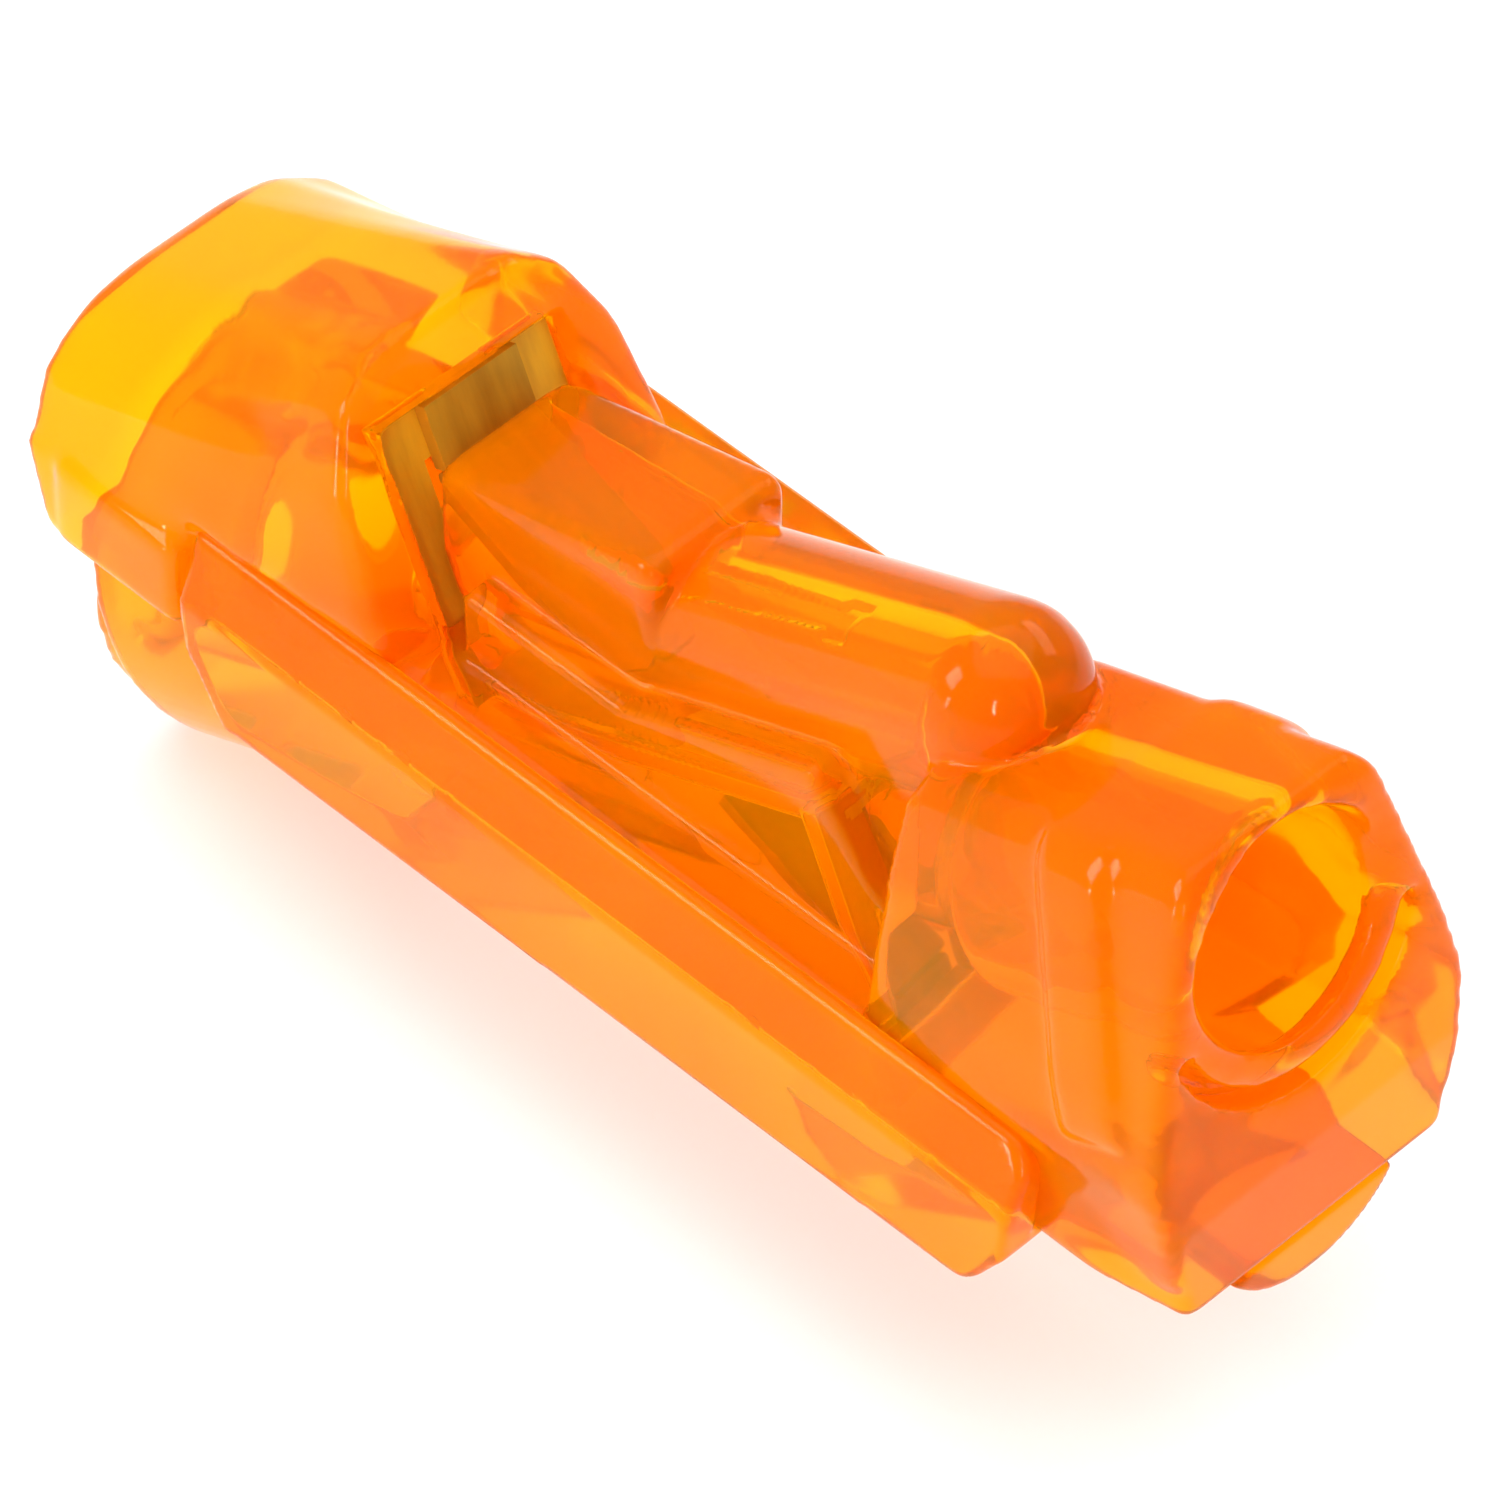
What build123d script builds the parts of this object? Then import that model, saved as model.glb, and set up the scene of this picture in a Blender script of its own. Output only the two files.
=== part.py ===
"""In-line push-in splice connector for two wires.

A clear two-shell housing holds a bent contact plate.  Two spring tongues, one for each wire,
press the bare conductors onto the plate.  The wires enter at opposite ends on two parallel
channels that climb through the body at WIRE_TILT.

Frame: X along the body (near port at +X), Y across the body, Z up, origin at the centre of
the two-fold symmetry of the contact plate.  All lengths are in millimetres.
"""
import os
from math import cos, radians, sin

from build123d import *

# ---------------------------------------------------------------- driving dimensions
WIRE_TILT = 24.0            # climb of both wire channels above the X axis, degrees
WIRE_OFFSET = 1.3           # each wire axis from the middle plane of the contact plate
PORT_RADIUS = 1.95          # straight part of each wire port
PORT_MOUTH_RADIUS = 2.25    # rim of the lead-in at each port
PORT_LEAD = 0.5             # depth of the lead-in
CHANNEL_RADIUS = 1.2        # channel for the stripped conductor
PORT_DEPTH_S = 7.2          # inner end of the wide port, measured along the wire
FUNNEL_END_S = 6.2          # inner end of the funnel, measured along the wire
CHANNEL_END_S = 7.4         # blind end of each conductor channel, past the middle
NEAR_FACE_S = 12.9          # where the near lead-in opens on the end face
FAR_FACE_S = 12.25          # the same for the far port, before the half turn
PORT_OVERRUN = 2.5          # cutting length beyond the end face
GROOVE_INNER_RADIUS = 2.5   # crescent groove under the near port
GROOVE_OUTER_RADIUS = 2.85
GROOVE_DEPTH = 0.8
GROOVE_TOP_T = -2.0         # upper ends of the groove

TURN_S = -0.4               # centre of the clip, measured along the wires
PLATE_THICKNESS = 0.4
PLATE_HALF_WIDTH = 1.6
GATE_S = 4.45               # gate plane of each wire, measured along the wire
GATE_TOP = 5.5              # top edge of each gate above the middle plane
GATE_HALF_WIDTH = 1.95
STRIP_HEIGHT = 1.0          # height of the strip that carries the spring
WINDOW_HALF_WIDTH = 1.2

SPRING_THICKNESS = 0.3
SPRING_HALF_WIDTH = 1.05
TONGUE_TIP_S = 1.2          # free tip of the spring tongue
TONGUE_TIP_T = 0.75
HINGE_T = 4.05              # height of the tongue root above the middle plane
PLAY = 0.05                 # clearance around the metal clip and between the shells
ROOM_HEAD_S = -4.2          # side outline of the room for the swinging tongue
ROOM_HEAD_T = 4.35
ROOM_TOE_S = 0.15
ROOM_TOE_T = 2.85

SKIRT_HALF_WIDTH = 4.15
SKIRT_WALL = 0.8
SKIRT_BOTTOM_Z = -3.45
SKIRT_SHOULDER_Z = -1.28
SKIRT_TOP_Z = 0.0
SKIRT_CHAMFER = 0.62
FLANGE_BOTTOM_Z = -2.13
FLANGE_TOP_Z = -0.33
FLANGE_FAR_HALF_WIDTH = 3.95
FLANGE_HALF_WIDTH = SKIRT_HALF_WIDTH - SKIRT_WALL - PLAY

DOME_TOP_T = 6.9            # flat top of the far dome above the middle plane
HOOD_FACE_S = -4.35         # open front of the hood, just ahead of the far gate
BOX_HALF_WIDTH = 1.5
BOX_FILLET = 0.25
BOX_EDGE_Z = 1.0            # every box edge above this height is rounded
SIDE_ROUNDING = 0.25        # corners of the hood in side view
BULLET_RADIUS = 1.45
BULLET_T = 2.1              # axis of the rounded blind end above the middle plane
BULLET_NOSE_S = 7.45
SADDLE_HALF_WIDTH = 2.15

BARREL_T = 0.85             # axis of the lower far barrel above the middle plane
BARREL_RADIUS = 3.65
BARREL_MOUTH_RADIUS = 3.25
SLEEVE_RADIUS = 2.5         # sleeve around the far port
SLEEVE_LENGTH = 4.4
KEEL_RADIUS = 2.2           # half-round end of the lower shell under the near port
KEEL_Z = -0.98
TRAY_TOP_Z = FLANGE_BOTTOM_Z - PLAY
HINGE_GAP = 0.2             # between the fixed base and the root of the tongue

C = cos(radians(WIRE_TILT))
S = sin(radians(WIRE_TILT))
HALF_TURN = Location((2 * TURN_S * C, 0, 2 * TURN_S * S)) * Rotation(0, 180, 0)


def along(s, t):
    """Side-view point (x, z) from a distance s along the wires and t above the middle plane."""
    return (s * C - t * S, s * S + t * C)


def cross_plane(s, t=0.0):
    """Plane across the wires: local x is Y, local y points up from the middle plane."""
    x, z = along(s, t)
    return Plane(origin=(x, 0, z), x_dir=(0, 1, 0), z_dir=(C, 0, S))


WIRE_SIDE = Plane(origin=(0, 0, 0), x_dir=(C, 0, S), z_dir=(0, -1, 0))
BODY_SIDE = Plane(origin=(0, 0, 0), x_dir=(1, 0, 0), z_dir=(0, -1, 0))


def half_profile_points(points):
    """Closed symmetric outline from right-hand (half width, height) points, top to bottom."""
    return points + [(-y, t) for y, t in reversed(points)]


def side_slab(plane, points, half_width, rounding=0.0):
    """Plate with a side-view outline, symmetric about the middle of the body."""
    with BuildPart() as slab:
        with BuildSketch(plane) as outline:
            with BuildLine():
                Polyline(*points, close=True)
            make_face()
            if rounding > 0:
                fillet(outline.vertices(), radius=rounding)
        extrude(amount=half_width, both=True)
    return slab.part


def tapered_prism(start_s, start_points, end_s, end_points):
    """Prism along the wires between two symmetric outlines."""
    with BuildPart() as prism:
        with BuildSketch(cross_plane(start_s)):
            with BuildLine():
                Polyline(*half_profile_points(start_points), close=True)
            make_face()
        with BuildSketch(cross_plane(end_s)):
            with BuildLine():
                Polyline(*half_profile_points(end_points), close=True)
            make_face()
        loft(ruled=True)
    return prism.part


def round_bar(start_s, end_s, t, radius):
    """Round bar along the wires at height t above the middle plane."""
    with BuildPart() as bar:
        with BuildSketch(cross_plane(start_s, t)):
            Circle(radius)
        extrude(amount=end_s - start_s)
    return bar.part


def port_void(face_s):
    """Near wire path: lead-in, port, funnel and blind conductor channel."""
    axis_plane = Plane(
        origin=(WIRE_OFFSET * S, 0, -WIRE_OFFSET * C), x_dir=(C, 0, S), z_dir=(0, -1, 0)
    )
    with BuildPart() as void:
        with BuildSketch(axis_plane):
            with BuildLine():
                Polyline(
                    (-CHANNEL_END_S, 0),
                    (-CHANNEL_END_S, CHANNEL_RADIUS),
                    (FUNNEL_END_S, CHANNEL_RADIUS),
                    (PORT_DEPTH_S, PORT_RADIUS),
                    (face_s - PORT_LEAD, PORT_RADIUS),
                    (face_s, PORT_MOUTH_RADIUS),
                    (face_s + PORT_OVERRUN, PORT_MOUTH_RADIUS),
                    (face_s + PORT_OVERRUN, 0),
                    close=True,
                )
            make_face()
        revolve(axis=Axis((WIRE_OFFSET * S, 0, -WIRE_OFFSET * C), (C, 0, S)))
    return void.part


def clip_void():
    """Pocket for one half of the contact clip: plate slot, gate slot and room for the tongue."""
    reach = PLATE_THICKNESS / 2 + PLAY
    gate_back = TURN_S - GATE_S - reach
    gate_front = TURN_S - GATE_S + reach
    plate_slot = side_slab(
        WIRE_SIDE,
        [(gate_back, -reach), (gate_back, reach), (TURN_S + PLAY, reach), (TURN_S + PLAY, -reach)],
        PLATE_HALF_WIDTH + PLAY,
    )
    gate_slot = side_slab(
        WIRE_SIDE,
        [(gate_back, -reach), (gate_back, GATE_TOP + PLAY), (gate_front, GATE_TOP + PLAY),
         (gate_front, -reach)],
        GATE_HALF_WIDTH + PLAY,
    )
    tongue_room = side_slab(
        WIRE_SIDE,
        [(gate_back, reach), (gate_back, GATE_TOP), (ROOM_HEAD_S, GATE_TOP), (ROOM_HEAD_S, ROOM_HEAD_T),
         (ROOM_TOE_S, ROOM_TOE_T), (ROOM_TOE_S, reach)],
        SPRING_HALF_WIDTH + 2 * PLAY,
    )
    with BuildPart() as void:
        add(plate_slot)
        add(gate_slot)
        add(tongue_room)
    return void.part


near_path = port_void(NEAR_FACE_S)
far_path = HALF_TURN * port_void(FAR_FACE_S)
upper_pocket = clip_void()
lower_pocket = HALF_TURN * clip_void()
sleeve_seat = round_bar(-14.5, -13.4 + SLEEVE_LENGTH + PLAY, WIRE_OFFSET, SLEEVE_RADIUS + PLAY)
end_trim = side_slab(
    BODY_SIDE, [(-12.6, 0.0), (-11.85, -8.2), (-16.0, -8.2), (-16.0, 0.0)], 6.0
)

# ---------------------------------------------------------------- upper shell
far_dome = tapered_prism(
    -13.6, [(1.95, DOME_TOP_T), (3.25, 6.35), (3.95, 5.2), (3.95, 3.6), (3.95, 2.4)],
    HOOD_FACE_S, [(1.6, DOME_TOP_T), (2.5, 6.2), (3.15, 4.7), (3.4, 2.7), (3.4, -0.7)],
)
dome_side = side_slab(
    BODY_SIDE,
    [(-12.6, FLANGE_BOTTOM_Z), (-13.05, FLANGE_TOP_Z), (-13.4, 1.1), (-13.35, 1.65), (-12.85, 1.98),
     (-7.1, 4.66), (-6.6, 4.35), along(HOOD_FACE_S, 5.5), along(HOOD_FACE_S, -0.33)],
    5.0,
    rounding=SIDE_ROUNDING,
)
near_barrel = tapered_prism(
    4.0, [(1.75, 1.78), (2.1, 1.35), (2.8, -1.0), (3.1, -2.5), (3.2, -4.5)],
    14.6, [(1.8, 1.08), (2.2, 0.6), (3.4, -3.4), (3.7, -4.9), (3.1, -7.4)],
)
near_side = side_slab(
    BODY_SIDE,
    [(6.1, FLANGE_BOTTOM_Z), (5.9, 3.6), (6.3, 7.0), (11.3, 7.0), (11.95, 6.0), (13.05, FLANGE_TOP_Z),
     (12.95, FLANGE_BOTTOM_Z)],
    5.0,
)
rim_band = tapered_prism(
    10.2, [(1.95, 1.4), (2.4, 0.9), (3.4, -2.6), (3.5, -3.4)],
    11.6, [(1.95, 1.28), (2.4, 0.8), (3.45, -2.6), (3.55, -3.4)],
)
groove_reach = side_slab(
    WIRE_SIDE,
    [(FUNNEL_END_S, -5.0), (FUNNEL_END_S, GROOVE_TOP_T), (16.0, GROOVE_TOP_T), (16.0, -5.0)],
    SKIRT_HALF_WIDTH,
)
with BuildPart() as port_groove:
    with BuildSketch(cross_plane(FUNNEL_END_S, -WIRE_OFFSET)):
        Circle(GROOVE_OUTER_RADIUS)
        Circle(GROOVE_INNER_RADIUS, mode=Mode.SUBTRACT)
    extrude(amount=NEAR_FACE_S + PORT_OVERRUN - FUNNEL_END_S)
    add(Location((-GROOVE_DEPTH, 0, 0)) * near_side, mode=Mode.SUBTRACT)
    add(groove_reach, mode=Mode.INTERSECT)
hood_recess = side_slab(
    WIRE_SIDE,
    [(TURN_S - GATE_S, 1.0), (TURN_S - GATE_S, GATE_TOP + PLAY), (-1.0, GATE_TOP + PLAY),
     (-1.0, 1.0)],
    GATE_HALF_WIDTH + PLAY,
)
saddle = side_slab(
    BODY_SIDE,
    [(-4.2, FLANGE_BOTTOM_Z), (-4.2, 1.15), (-0.5, 1.15), (3.8, 3.0), (5.2, 1.3), (6.4, 0.7),
     (6.4, FLANGE_BOTTOM_Z)],
    SADDLE_HALF_WIDTH,
)
bridge_box = side_slab(
    BODY_SIDE,
    [(-5.5, 0.0), (-5.5, 2.67), (-0.6, 3.97), (-0.4, 3.75), (-0.4, 0.0)],
    BOX_HALF_WIDTH,
)
with BuildPart() as rounded_box:
    add(bridge_box)
    fillet([e for e in rounded_box.edges() if e.center().Z > BOX_EDGE_Z], radius=BOX_FILLET)
bullet_body = side_slab(
    WIRE_SIDE,
    [(0.2, 0.0), (0.2, BULLET_T), (BULLET_NOSE_S, BULLET_T), (BULLET_NOSE_S, 0.0)],
    BULLET_RADIUS,
)
nose_rib = side_slab(
    BODY_SIDE, [(3.0, 0.0), (3.0, 2.7), (6.4, 4.2), (6.4, 0.0)], BULLET_RADIUS
)
bullet_bar = round_bar(0.2, BULLET_NOSE_S, BULLET_T, BULLET_RADIUS)

with BuildPart() as upper_housing:
    add(far_dome)
    add(dome_side, mode=Mode.INTERSECT)
    add(hood_recess, mode=Mode.SUBTRACT)
    nose_x, nose_z = along(BULLET_NOSE_S, BULLET_T)
    add(near_barrel & near_side)
    add(rim_band)
    add(saddle)
    add(rounded_box.part)
    add(bullet_body)
    add(nose_rib)
    add(bullet_bar)
    with Locations((nose_x, 0, nose_z)):
        Sphere(BULLET_RADIUS)
    with BuildSketch(Plane.XY.offset(FLANGE_BOTTOM_Z)):
        with BuildLine():
            flange_half = [
                (-12.55, 3.5), (-12.15, FLANGE_FAR_HALF_WIDTH), (-9.35, FLANGE_FAR_HALF_WIDTH),
                (-9.35, FLANGE_HALF_WIDTH), (11.2, FLANGE_HALF_WIDTH), (13.05, 2.95),
            ]
            Polyline(*flange_half, *[(x, -y) for x, y in reversed(flange_half)], close=True)
        make_face()
    extrude(amount=FLANGE_TOP_Z - FLANGE_BOTTOM_Z)

    add(near_path, mode=Mode.SUBTRACT)
    add(far_path, mode=Mode.SUBTRACT)
    add(upper_pocket, mode=Mode.SUBTRACT)
    add(lower_pocket, mode=Mode.SUBTRACT)
    add(sleeve_seat, mode=Mode.SUBTRACT)
    add(port_groove, mode=Mode.SUBTRACT)

    # room for the skirts of the lower shell
    with BuildSketch(Plane.XY.offset(FLANGE_BOTTOM_Z)):
        with Locations((0.55, 0)):
            Rectangle(19.8, 4 * SKIRT_HALF_WIDTH)
        Rectangle(60.0, 2 * FLANGE_HALF_WIDTH, mode=Mode.SUBTRACT)
    extrude(amount=SKIRT_TOP_Z + PLAY - FLANGE_BOTTOM_Z, mode=Mode.SUBTRACT)

# ---------------------------------------------------------------- lower shell
lower_dome = HALF_TURN * tapered_prism(
    -13.0, [(1.5, DOME_TOP_T), (2.6, 6.0), (2.9, 4.6), (2.9, 3.0)],
    -3.3, [(1.5, DOME_TOP_T), (2.4, 5.6), (2.8, 3.0), (2.9, 0.6)],
)
lower_dome_side = side_slab(
    BODY_SIDE,
    [(2.6, TRAY_TOP_Z), (12.9, TRAY_TOP_Z), (12.1, -2.35), (6.1, -5.0), (4.9, -4.9), (3.9, -4.0),
     (3.2, -2.4)],
    5.0,
)

with BuildPart() as tray:
    with BuildSketch(BODY_SIDE) as tray_outline:
        with BuildLine():
            Polyline(
                (-9.15, SKIRT_TOP_Z), (-8.9, -2.2), (-8.1, SKIRT_BOTTOM_Z - 0.07),
                (9.25, SKIRT_BOTTOM_Z + 0.13), (10.0, -2.2), (10.2, SKIRT_TOP_Z), close=True,
            )
        make_face()
        fillet(tray_outline.vertices().sort_by(Axis.Z)[:2], radius=0.55)
    extrude(amount=SKIRT_HALF_WIDTH, both=True)
    with BuildSketch(Plane.XY.offset(TRAY_TOP_Z)):
        Rectangle(2 * 14.0, 2 * (SKIRT_HALF_WIDTH - SKIRT_WALL))
    extrude(amount=SKIRT_TOP_Z - TRAY_TOP_Z, mode=Mode.SUBTRACT)
    with BuildSketch(Plane.YZ.offset(-14.0)):
        with BuildLine():
            Polyline(
                (-SKIRT_HALF_WIDTH, SKIRT_SHOULDER_Z),
                (SKIRT_CHAMFER - SKIRT_HALF_WIDTH, SKIRT_TOP_Z),
                (-SKIRT_HALF_WIDTH, SKIRT_TOP_Z),
                close=True,
            )
        make_face()
    extrude(amount=28.0, mode=Mode.SUBTRACT)

with BuildPart() as lower_housing:
    add(lower_dome & lower_dome_side)

    # half-round keel that closes the near end below the flange
    with BuildSketch(Plane.YZ.offset(9.0)):
        with Locations((0, KEEL_Z)):
            Circle(KEEL_RADIUS)
        with Locations((0, KEEL_Z + KEEL_RADIUS)):
            Rectangle(3 * KEEL_RADIUS, 2 * (KEEL_Z + KEEL_RADIUS - TRAY_TOP_Z), mode=Mode.SUBTRACT)
    extrude(amount=4.05)

    # far barrel around the far port
    with BuildSketch(cross_plane(-14.0, BARREL_T)):
        Circle(BARREL_MOUTH_RADIUS)
    extrude(amount=3.4)
    with BuildSketch(cross_plane(-12.2, BARREL_T)):
        Circle(BARREL_RADIUS)
    extrude(amount=6.6)

    # blind end of the near conductor channel
    nose_x, nose_z = along(2 * TURN_S - BULLET_NOSE_S, -BULLET_T)
    add(HALF_TURN * bullet_bar)
    add(HALF_TURN * bullet_body)
    with Locations((nose_x, 0, nose_z)):
        Sphere(BULLET_RADIUS)

    # keep everything below the seam and inside the end face
    with BuildSketch(BODY_SIDE):
        with BuildLine():
            Polyline(
                (-12.55, TRAY_TOP_Z), (-11.9, -8.2), (13.2, -8.2), (13.2, TRAY_TOP_Z), close=True
            )
        make_face()
    extrude(amount=6.0, both=True, mode=Mode.INTERSECT)

    # tray floor and skirts
    add(tray)

    # sleeve around the far port
    with BuildSketch(cross_plane(-13.4, WIRE_OFFSET)):
        Circle(SLEEVE_RADIUS)
    extrude(amount=SLEEVE_LENGTH)
    add(end_trim, mode=Mode.SUBTRACT)

    add(near_path, mode=Mode.SUBTRACT)
    add(far_path, mode=Mode.SUBTRACT)
    add(upper_pocket, mode=Mode.SUBTRACT)
    add(lower_pocket, mode=Mode.SUBTRACT)

# ---------------------------------------------------------------- contact plate with two gates
def gate():
    """Half of the contact plate, bent up into the gate of the far wire."""
    window_height = GATE_TOP - STRIP_HEIGHT - PLATE_THICKNESS / 2
    with BuildPart() as half:
        with BuildSketch(WIRE_SIDE):
            with Locations((TURN_S - GATE_S / 2, 0)):
                Rectangle(GATE_S, PLATE_THICKNESS)
        extrude(amount=PLATE_HALF_WIDTH, both=True)
        with BuildSketch(WIRE_SIDE):
            with Locations((TURN_S - GATE_S, (GATE_TOP - PLATE_THICKNESS / 2) / 2)):
                Rectangle(PLATE_THICKNESS, GATE_TOP + PLATE_THICKNESS / 2)
        extrude(amount=GATE_HALF_WIDTH, both=True)
        with BuildSketch(cross_plane(TURN_S - GATE_S, PLATE_THICKNESS / 2)):
            with Locations((0, window_height / 2)):
                Rectangle(2 * WINDOW_HALF_WIDTH, window_height)
        extrude(amount=PLATE_THICKNESS, both=True, mode=Mode.SUBTRACT)
    return half.part


with BuildPart() as contact_plate:
    add(gate())
    add(HALF_TURN * gate())


ROOT_S = TURN_S - GATE_S + PLATE_THICKNESS / 2 + SPRING_THICKNESS / 2


def spring_clip():
    """Fixed base of the far spring, lying on the inner face of the gate strip."""
    with BuildPart() as clip:
        with BuildSketch(WIRE_SIDE):
            with Locations((ROOT_S, (GATE_TOP + HINGE_T + HINGE_GAP) / 2)):
                Rectangle(SPRING_THICKNESS, GATE_TOP - HINGE_T - HINGE_GAP)
        extrude(amount=SPRING_HALF_WIDTH, both=True)
    return clip.part


def spring_tongue():
    """Swinging leaf from the gate strip down to the far conductor."""
    run = TURN_S - TONGUE_TIP_S - ROOT_S
    fall = HINGE_T - TONGUE_TIP_T
    length = (run**2 + fall**2) ** 0.5
    nx = fall / length * SPRING_THICKNESS / 2
    nt = run / length * SPRING_THICKNESS / 2
    tip_s = TURN_S - TONGUE_TIP_S
    with BuildPart() as tongue:
        with BuildSketch(WIRE_SIDE):
            with BuildLine():
                Polyline(
                    (ROOT_S + nx, HINGE_T + nt), (tip_s + nx, TONGUE_TIP_T + nt),
                    (tip_s - nx, TONGUE_TIP_T - nt), (ROOT_S - nx, HINGE_T - nt), close=True,
                )
            make_face()
            with Locations((ROOT_S, HINGE_T)):
                Circle(SPRING_THICKNESS / 2)
        extrude(amount=SPRING_HALF_WIDTH, both=True)
    return tongue.part


nodes = {
    "upper_housing": upper_housing.part,
    "lower_housing": lower_housing.part,
    "contact_plate": contact_plate.part,
    "far_spring_clip": spring_clip(),
    "far_spring_tongue": spring_tongue(),
    "near_spring_clip": HALF_TURN * spring_clip(),
    "near_spring_tongue": HALF_TURN * spring_tongue(),
}
middle = Compound(list(nodes.values())).bounding_box().center()

os.makedirs("parts", exist_ok=True)
for name, shape in nodes.items():
    centred = Location((-middle.X, 0, -middle.Z)) * shape
    centred.label = name
    export_step(centred, f"parts/{name}.step")
print("frame shift", middle.X, middle.Y, middle.Z)
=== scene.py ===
import math

import bpy
import numpy as np
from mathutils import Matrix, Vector
from mathutils.bvhtree import BVHTree


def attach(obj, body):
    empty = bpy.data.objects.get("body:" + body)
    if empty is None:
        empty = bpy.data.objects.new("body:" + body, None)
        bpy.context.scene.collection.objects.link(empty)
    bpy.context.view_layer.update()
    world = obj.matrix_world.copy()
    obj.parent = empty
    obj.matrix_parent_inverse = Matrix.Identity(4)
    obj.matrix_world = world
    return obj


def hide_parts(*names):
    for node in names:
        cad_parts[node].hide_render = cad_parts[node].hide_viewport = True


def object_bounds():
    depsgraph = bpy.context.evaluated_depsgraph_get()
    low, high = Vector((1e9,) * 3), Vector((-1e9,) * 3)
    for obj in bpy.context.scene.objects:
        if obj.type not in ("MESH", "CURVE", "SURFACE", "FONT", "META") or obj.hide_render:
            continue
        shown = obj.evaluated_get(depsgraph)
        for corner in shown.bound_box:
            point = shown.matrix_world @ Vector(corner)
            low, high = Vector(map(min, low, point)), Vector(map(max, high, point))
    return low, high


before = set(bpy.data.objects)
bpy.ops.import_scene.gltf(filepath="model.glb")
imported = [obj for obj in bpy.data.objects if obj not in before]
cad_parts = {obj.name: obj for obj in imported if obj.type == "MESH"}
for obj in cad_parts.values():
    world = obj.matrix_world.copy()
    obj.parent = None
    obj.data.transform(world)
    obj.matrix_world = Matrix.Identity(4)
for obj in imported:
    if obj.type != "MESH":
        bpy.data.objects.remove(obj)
cad_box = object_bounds()

MM = 0.001

# ------------------------------------------------------------------ shape of the moulded shells
# Lengths in this section are millimetres.
WIRE_TILT = math.radians(24.0)  # climb of the wire channels above the X axis
COS, SIN = math.cos(WIRE_TILT), math.sin(WIRE_TILT)
CENTRE_X, CENTRE_Z = 0.1736, 0.7112  # centre of the contact plate's half-turn symmetry

FINE_VOXEL, QUICK_VOXEL = 0.085, 0.12
VOXEL = FINE_VOXEL
SETTLE_STEPS = 3  # takes the voxel steps out of the surface
SOFT_STEPS = 80  # rounds the outer edges, at the fine voxel size
SWELL = 0.06  # gives back the thickness that the rounding takes
RAY_START = 0.05  # keeps an outward ray clear of the surface that it leaves
METAL_EDGE = 0.05  # broken edge of the metal strips

# How far each region of the shells is rounded: 0 is crisp, 1 is softest.
INNER_SOFTNESS = 0.02
BARREL_SOFTNESS = 0.5
HOOD_SOFTNESS = 1.0
RIM_SOFTNESS = 0.25
BRIDGE_SOFTNESS = 0.06
SKIRT_SOFTNESS = 0.05
UNDERSIDE_SOFTNESS = 0.15

# Where the regions begin, from the centre of symmetry.
BARREL_X = 6.0
HOOD_FLANK_S = -3.6  # along the wire channels, beside the gate opening
HOOD_CROWN_S = -5.0  # along the wire channels, above the gate opening
GATE_OPENING_Y = 1.0
HOOD_FOOT_Z = -0.3
RIM_Z = -0.2
SKIRT_Y = 3.2
SKIRT_FOOT_Z = -2.4

# ------------------------------------------------------------------ view and light
# Lengths from here on are metres.
AIM = Vector((0.00051, -0.00005, -0.00004))
AZIMUTH, ELEVATION = math.radians(45.0), math.radians(47.4)
CAMERA_DISTANCE = 0.185
LENS, SENSOR_WIDTH = 270.8, 36.0
CLIP_START, CLIP_END = 0.01, 10.0
FLOOR_HALF_WIDTH = 0.6
WORLD_STRENGTH = 0.46


# ------------------------------------------------------------------ materials
def node_tree(name):
    """A new material with one Principled shader."""
    mat = bpy.data.materials.new(name)
    mat.use_nodes = True
    tree = mat.node_tree
    tree.nodes.clear()
    out = tree.nodes.new("ShaderNodeOutputMaterial")
    bsdf = tree.nodes.new("ShaderNodeBsdfPrincipled")
    tree.links.new(bsdf.outputs["BSDF"], out.inputs["Surface"])
    return mat, tree, bsdf


def set_inputs(node, values):
    for socket, value in values.items():
        node.inputs[socket].default_value = value


def object_coords(tree, scale=(1.0, 1.0, 1.0)):
    """Coordinates that stay with the object, stretched by the scale."""
    coords = tree.nodes.new("ShaderNodeTexCoord")
    mapping = tree.nodes.new("ShaderNodeMapping")
    set_inputs(mapping, {"Scale": scale})
    tree.links.new(coords.outputs["Object"], mapping.inputs["Vector"])
    return mapping.outputs["Vector"]


def noise(tree, coords, scale, detail, roughness):
    node = tree.nodes.new("ShaderNodeTexNoise")
    set_inputs(node, {"Scale": scale, "Detail": detail, "Roughness": roughness})
    tree.links.new(coords, node.inputs["Vector"])
    return node.outputs["Fac"]


def two_tones(tree, bsdf, source, first, second):
    """Body colour that runs from one tone to another; each tone is (position, colour)."""
    ramp = tree.nodes.new("ShaderNodeValToRGB")
    for element, (position, colour) in zip(ramp.color_ramp.elements, (first, second)):
        element.position = position
        element.color = colour
    tree.links.new(source, ramp.inputs["Fac"])
    tree.links.new(ramp.outputs["Color"], bsdf.inputs["Base Color"])


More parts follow.
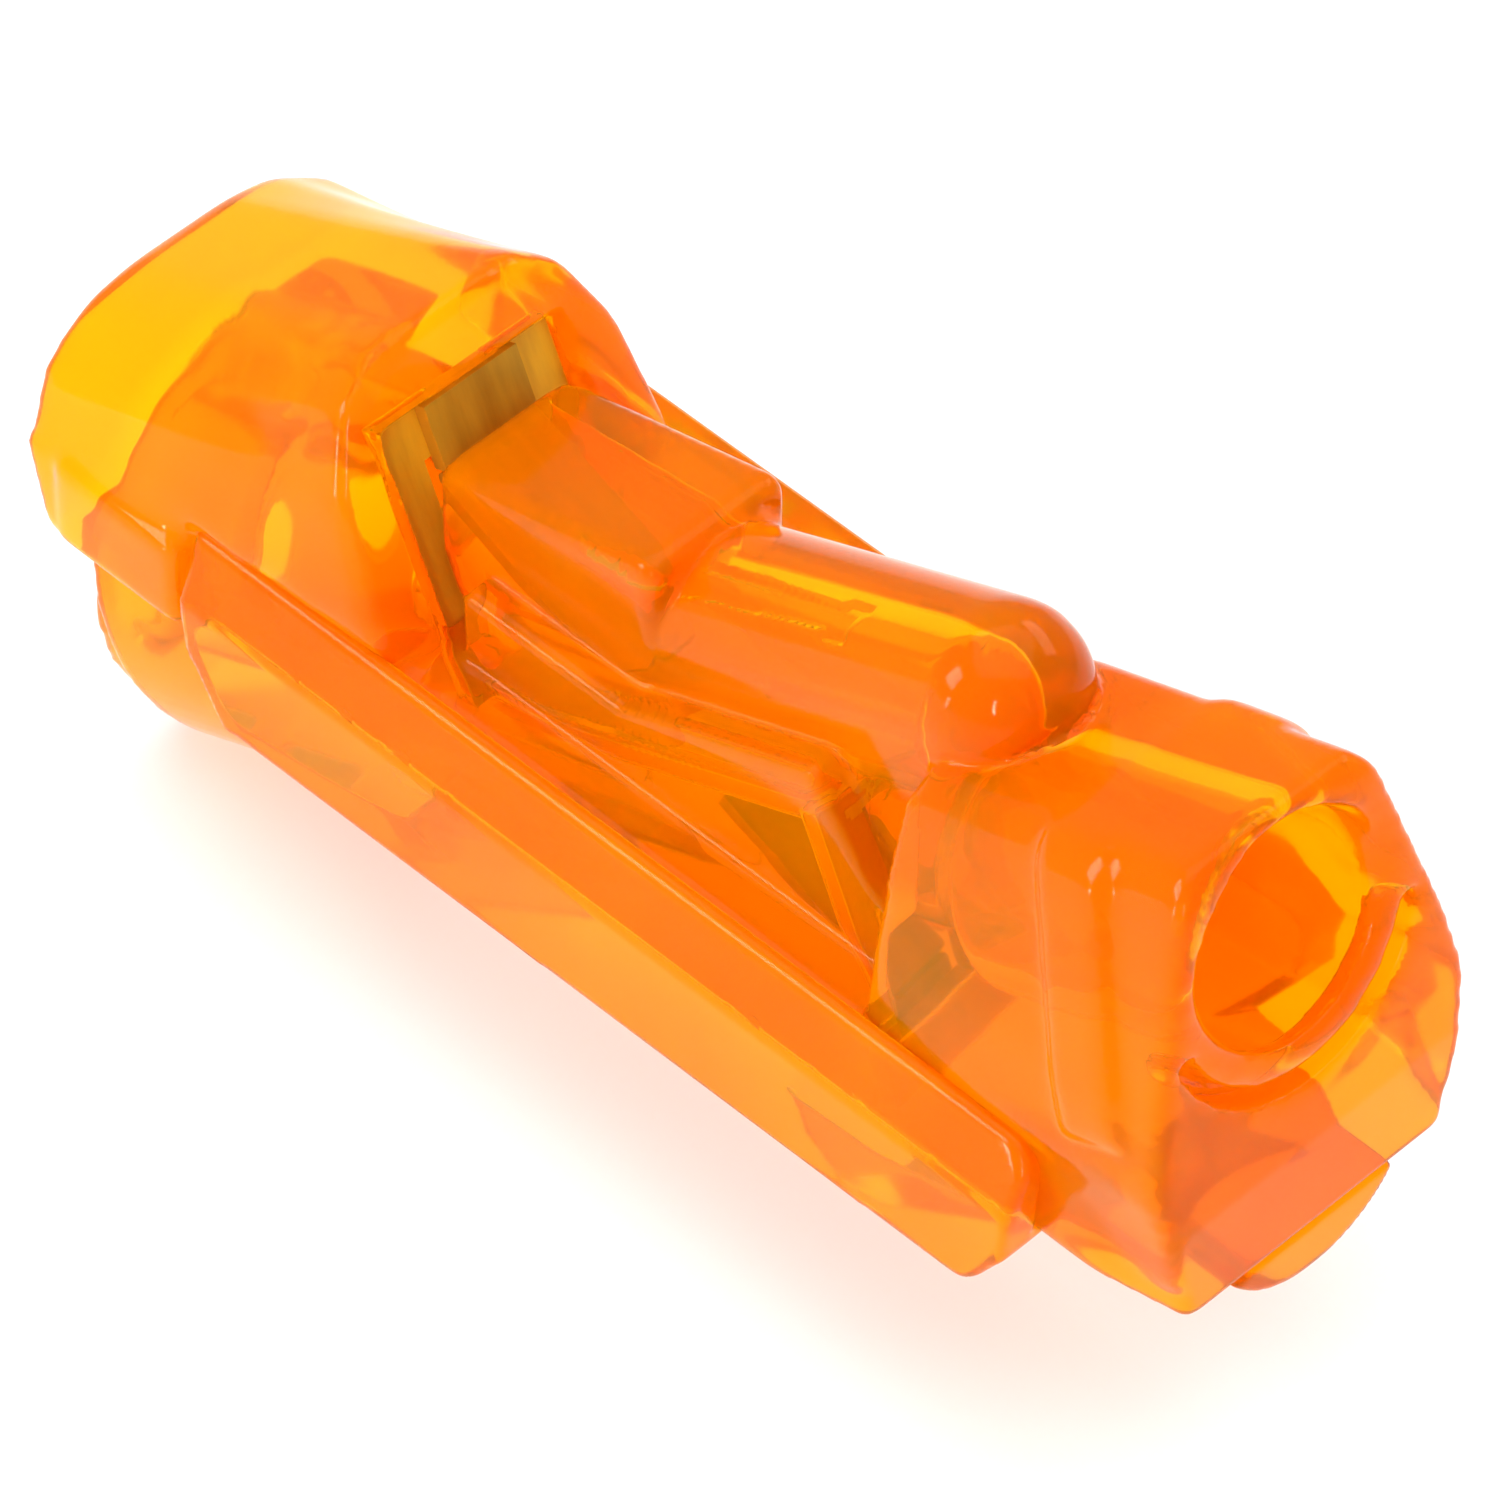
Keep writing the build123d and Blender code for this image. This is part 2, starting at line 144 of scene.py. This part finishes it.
def uneven_gloss(tree, bsdf, source, smoothest, roughest, bump_strength, bump_depth):
    """Roughness and a faint relief that follow the same noise."""
    gloss = tree.nodes.new("ShaderNodeMapRange")
    set_inputs(gloss, {"From Min": 0.3, "From Max": 0.7, "To Min": smoothest, "To Max": roughest})
    tree.links.new(source, gloss.inputs["Value"])
    tree.links.new(gloss.outputs["Result"], bsdf.inputs["Roughness"])
    bump = tree.nodes.new("ShaderNodeBump")
    set_inputs(bump, {"Strength": bump_strength, "Distance": bump_depth})
    tree.links.new(source, bump.inputs["Height"])
    tree.links.new(bump.outputs["Normal"], bsdf.inputs["Normal"])


def amber(name):
    """Clear amber plastic: a little cloud in the body colour, faint flow marks in the gloss."""
    mat, tree, bsdf = node_tree(name)
    coords = object_coords(tree)
    cloud = noise(tree, coords, 190.0, 3.0, 0.5)
    two_tones(tree, bsdf, cloud, (0.3, (1.0, 0.34, 0.0, 1)), (0.7, (1.0, 0.45, 0.0, 1)))
    flow = noise(tree, coords, 700.0, 4.0, 0.55)
    uneven_gloss(tree, bsdf, flow, 0.10, 0.16, 0.1, 0.04 * MM)
    set_inputs(
        bsdf,
        {
            "Transmission Weight": 0.84,
            "IOR": 1.14,
            "Specular IOR Level": 0.35,
            "Specular Tint": (1.0, 0.45, 0.12, 1),
            "Coat Weight": 0.2,
            "Coat Roughness": 0.06,
            "Coat IOR": 1.35,
        },
    )
    return mat


def strip_metal(name, dark, light, metallic):
    """Dull metal strip with a grain drawn out along the part."""
    mat, tree, bsdf = node_tree(name)
    grain = noise(tree, object_coords(tree, (260.0, 1500.0, 260.0)), 1.0, 6.0, 0.6)
    two_tones(tree, bsdf, grain, (0.3, dark), (0.72, light))
    uneven_gloss(tree, bsdf, grain, 0.45, 0.62, 0.25, 0.02 * MM)
    set_inputs(bsdf, {"Metallic": metallic})
    return mat


def pale_floor(name):
    mat, _, bsdf = node_tree(name)
    set_inputs(bsdf, {"Base Color": (0.9, 0.9, 0.9, 1), "Roughness": 0.9})
    return mat


AMBER = amber("amber_shell")
PLATE = strip_metal("contact_plate", (0.62, 0.28, 0.004, 1), (0.88, 0.48, 0.012, 1), 0.5)
SPRING = strip_metal("spring_steel", (0.36, 0.17, 0.004, 1), (0.62, 0.32, 0.012, 1), 0.6)


# ------------------------------------------------------------------ moulded shells
def applied(piece, name):
    """The mesh of a piece with its modifiers applied."""
    bpy.context.view_layer.update()
    deps = bpy.context.evaluated_depsgraph_get()
    mesh = bpy.data.meshes.new_from_object(piece.evaluated_get(deps))
    mesh.name = name
    piece.modifiers.clear()
    piece.data = mesh
    return mesh


def vectors(mesh, name):
    """The vertex positions or normals of a mesh, one row each."""
    flat = np.empty(len(mesh.vertices) * 3, np.float32)
    mesh.vertices.foreach_get(name, flat)
    return flat.reshape(-1, 3)


def outer_weights(mesh, softness):
    """How far each vertex is rounded: by its region on the outside, very little inside."""
    places, normals = vectors(mesh, "co"), vectors(mesh, "normal")
    tree = BVHTree.FromPolygons(places.tolist(), [tuple(p.vertices) for p in mesh.polygons])
    weights = np.full(len(places), INNER_SOFTNESS)
    for i, (place, normal) in enumerate(zip(places.tolist(), normals.tolist())):
        start = Vector(place) + Vector(normal) * RAY_START
        if tree.ray_cast(start, normal)[0] is None:
            x, y, z = place[0] - CENTRE_X, place[1], place[2] - CENTRE_Z
            weights[i] = softness(x * COS + z * SIN, x, y, z)
    return weights


def upper_softness(s, x, y, z):
    """Softness of the upper shell; s runs along the wire channels."""
    if x > BARREL_X:
        return BARREL_SOFTNESS
    if z > HOOD_FOOT_Z and s < HOOD_FLANK_S and abs(y) > GATE_OPENING_Y:
        return HOOD_SOFTNESS
    if z > HOOD_FOOT_Z and s < HOOD_CROWN_S:
        return HOOD_SOFTNESS
    if z < RIM_Z:
        return RIM_SOFTNESS
    return BRIDGE_SOFTNESS


def lower_softness(s, x, y, z):
    """Softness of the lower shell, which depends only on the height and the distance across."""
    if abs(y) > SKIRT_Y and z > SKIRT_FOOT_Z:
        return SKIRT_SOFTNESS
    return UNDERSIDE_SOFTNESS


def moulded(node, softness):
    """Stand in for a shell with a copy that has the edge radii of a moulding."""
    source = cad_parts[node]
    mesh = source.data.copy()
    piece = bpy.data.objects.new(node + "_moulded", mesh)
    bpy.context.scene.collection.objects.link(piece)
    mesh.vertices.foreach_set("co", (vectors(mesh, "co") / MM).ravel())
    mesh.update()

    remesh = piece.modifiers.new("remesh", "REMESH")
    remesh.mode = "VOXEL"
    remesh.voxel_size = VOXEL
    remesh.use_smooth_shade = True
    settle = piece.modifiers.new("settle", "SMOOTH")
    settle.factor = 0.5
    settle.iterations = SETTLE_STEPS
    mesh = applied(piece, node + "_fine")

    weights = outer_weights(mesh, softness)
    group = piece.vertex_groups.new(name="soft")
    for i, weight in enumerate(weights):
        group.add([i], float(weight), "REPLACE")
    soften = piece.modifiers.new("soften", "SMOOTH")
    soften.factor = 0.5
    soften.iterations = round(SOFT_STEPS * (FINE_VOXEL / VOXEL) ** 2)
    soften.vertex_group = "soft"
    mesh = applied(piece, node + "_shell")
    piece.vertex_groups.clear()

    swell = np.where(weights > INNER_SOFTNESS, SWELL, 0.0)[:, None]
    co = (vectors(mesh, "co") + vectors(mesh, "normal") * swell) * MM
    co = np.clip(co, np.array(cad_box[0]), np.array(cad_box[1]))
    mesh.vertices.foreach_set("co", co.astype(np.float32).ravel())
    mesh.update()
    mesh.materials.clear()
    mesh.materials.append(AMBER)
    for polygon in mesh.polygons:
        polygon.use_smooth = True
    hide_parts(node)
    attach(piece, "housing")


moulded("upper_housing", upper_softness)
moulded("lower_housing", lower_softness)


# ------------------------------------------------------------------ metal strips
for node, mat in (
    ("contact_plate", PLATE),
    ("far_spring_clip", SPRING),
    ("far_spring_tongue", SPRING),
    ("near_spring_clip", SPRING),
    ("near_spring_tongue", SPRING),
):
    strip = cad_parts[node]
    strip.data.materials.clear()
    strip.data.materials.append(mat)
    bevel = strip.modifiers.new("edges", "BEVEL")
    bevel.width = METAL_EDGE * MM
    bevel.segments = 2
    bevel.limit_method = "ANGLE"


# ------------------------------------------------------------------ stage, light and camera
def add_floor(half_width, z):
    corners = [(-half_width, -half_width), (half_width, -half_width)]
    corners += [(half_width, half_width), (-half_width, half_width)]
    mesh = bpy.data.meshes.new("floor")
    mesh.from_pydata([(x, y, z) for x, y in corners], [], [(0, 1, 2, 3)])
    mesh.materials.append(pale_floor("floor"))
    floor = bpy.data.objects.new("floor", mesh)
    bpy.context.scene.collection.objects.link(floor)
    return floor


def soft_light(name, direction, distance, size, power):
    """A rectangular lamp that faces the part from the given direction."""
    data = bpy.data.lights.new(name, "AREA")
    data.shape = "RECTANGLE"
    data.size, data.size_y = size
    data.energy = power
    lamp = bpy.data.objects.new(name, data)
    bpy.context.scene.collection.objects.link(lamp)
    towards_lamp = Vector(direction).normalized()
    lamp.location = AIM + towards_lamp * distance
    lamp.rotation_euler = (-towards_lamp).to_track_quat("-Z", "Y").to_euler()


floor = add_floor(FLOOR_HALF_WIDTH, cad_box[0][2])

world = bpy.data.worlds.new("studio")
bpy.context.scene.world = world
world.use_nodes = True
set_inputs(
    world.node_tree.nodes["Background"],
    {"Color": (1.0, 1.0, 1.0, 1), "Strength": WORLD_STRENGTH},
)

soft_light("key", (-0.48, -0.74, 0.48), 0.25, (0.09, 0.09), 0.45)
soft_light("front", (0.49, -0.76, 0.40), 0.25, (0.015, 0.08), 0.18)
soft_light("side", (-0.35, -0.93, 0.06), 0.25, (0.02, 0.05), 0.12)
soft_light("back", (0.1, 1.0, 0.8), 0.3, (0.2, 0.08), 0.25)
soft_light("top", (-0.05, 0.05, 1.0), 0.35, (0.45, 0.45), 1.3)

towards_camera = Vector(
    (
        math.sin(AZIMUTH) * math.cos(ELEVATION),
        -math.cos(AZIMUTH) * math.cos(ELEVATION),
        math.sin(ELEVATION),
    )
)
cam_data = bpy.data.cameras.new("camera")
cam_data.sensor_width = SENSOR_WIDTH
cam_data.lens = LENS
cam_data.clip_start = CLIP_START
cam_data.clip_end = CLIP_END
cam_data.dof.use_dof = False
cam = bpy.data.objects.new("camera", cam_data)
bpy.context.scene.collection.objects.link(cam)
cam.location = AIM + towards_camera * CAMERA_DISTANCE
cam.rotation_euler = (-towards_camera).to_track_quat("-Z", "Y").to_euler()
bpy.context.scene.camera = cam

scene = bpy.context.scene
scene.view_settings.view_transform = "Standard"
scene.cycles.max_bounces = 24
scene.cycles.transmission_bounces = 20
scene.cycles.transparent_max_bounces = 16
